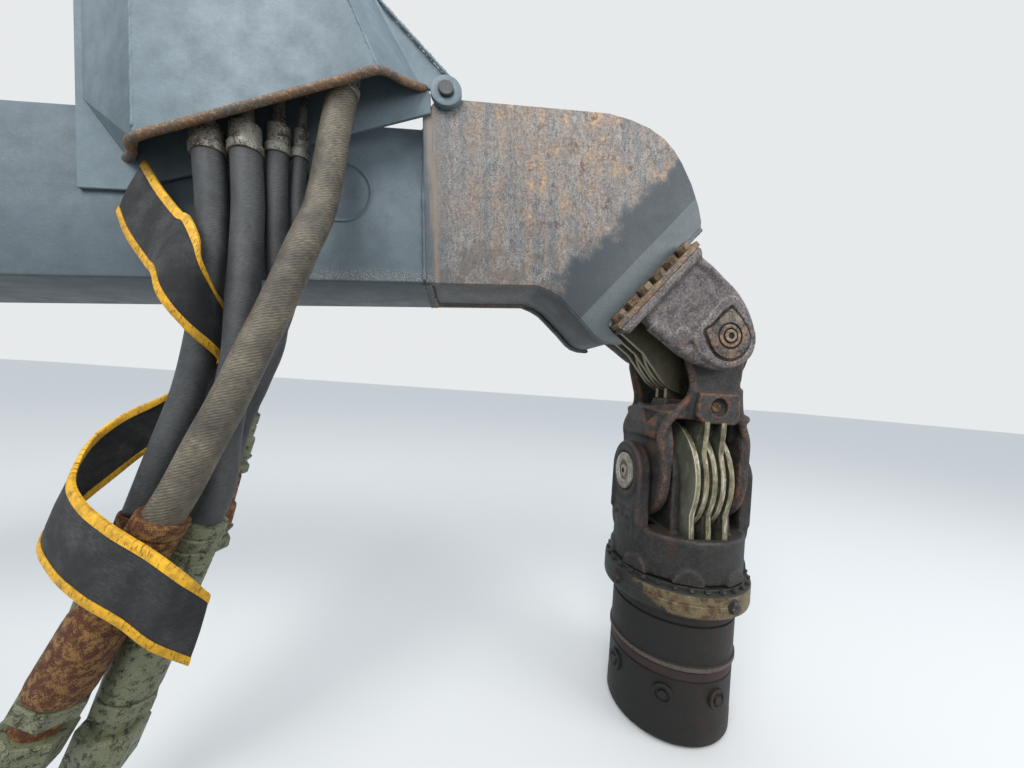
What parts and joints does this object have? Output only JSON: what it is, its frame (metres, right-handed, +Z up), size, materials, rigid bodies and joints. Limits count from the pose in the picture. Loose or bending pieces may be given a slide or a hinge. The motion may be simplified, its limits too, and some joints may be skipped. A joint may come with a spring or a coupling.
{
  "type": "crane boom tip with brake link and rotator",
  "caption": "Crane boom tip: extension tube with a bent nose, hose box and hanging hoses, and a two-axis brake link that carries a rotator.",
  "frame": {"origin": "centre of the rear pin bore, which joins the tube to its extension cylinder", "axes": "+X forward to the boom's tip, +Y across the boom along the rear bore and the upper pin, +Z up"},
  "size_m": [2.1572, 0.3965, 1.2565],
  "materials": {
    "boom_paint": "blue-grey paint",
    "worn_paint": "worn paint over rust",
    "dark_casting": "dark cast steel with rust",
    "rotator_casting": "dark green-grey casting",
    "ring_steel": "worn steel ring",
    "disc_steel": "worn brake steel",
    "rusty_steel": "rusty steel",
    "plated_steel": "greenish plated steel",
    "dusty_hose": "dusty rubber",
    "black_hose": "black rubber",
    "strap_web": "black webbing with yellow edges",
    "pad_plastic": "plain slide pad",
    "pin_steel": "worn steel"
  },
  "bodies": {
    "boom": {"extension_tube": "boom_paint", "rear_bosses": "pin_steel", "wear_pads": "pad_plastic", "nose_plate_left": "worn_paint", "nose_plate_right": "worn_paint", "nose_cover": "boom_paint", "nose_floor": "boom_paint", "recess_cover": "boom_paint", "nose_collar": "worn_paint", "flange_bolts": "pin_steel", "hose_box": "boom_paint", "hose_box_side": "pin_steel", "hose_box_back": "boom_paint", "box_lug": "boom_paint", "hose_rail": "pin_steel", "hose_sockets": "pin_steel", "hose_1": "black_hose", "hose_2": "black_hose", "hose_3": "black_hose", "hose_4": "black_hose", "hose_5": "dusty_hose", "hose_end_1": "rusty_steel", "hose_end_2": "plated_steel", "hose_end_3": "rusty_steel", "hose_end_4": "plated_steel", "hose_end_5": "rusty_steel", "strap": "strap_web", "hanger": "dark_casting", "upper_pin": "pin_steel", "upper_pin_caps": "pin_steel", "upper_fixed_discs": "disc_steel"},
    "link": {"link_casting": "dark_casting", "upper_link_discs": "disc_steel", "lower_link_discs": "disc_steel"},
    "rotator_housing": {"rotator_yoke": "rotator_casting", "lower_pin": "pin_steel", "lower_pin_caps": "pin_steel", "lower_fixed_discs": "disc_steel", "rotator_ring": "ring_steel", "rotator_body": "rotator_casting", "port_plugs": "pin_steel"},
    "rotator_head": {"rotator_foot": "rotator_casting", "foot_plugs": "pin_steel"}
  },
  "joints": [
    {"name": "link_swing", "type": "hinge", "parent": "boom", "child": "link", "pos_m": [1.9, 0, -0.045], "axis": [0, 1, 0], "range_deg": [-75, 45]},
    {"name": "rotator_swing", "type": "hinge", "parent": "link", "child": "rotator_housing", "pos_m": [1.9, 0, -0.301], "axis": [1, 0, 0], "range_deg": [-45, 45]},
    {"name": "rotator_spin", "type": "hinge", "parent": "rotator_housing", "child": "rotator_head", "pos_m": [1.9, 0, -0.613], "axis": [0, 0, 1], "continuous": true}
  ]
}
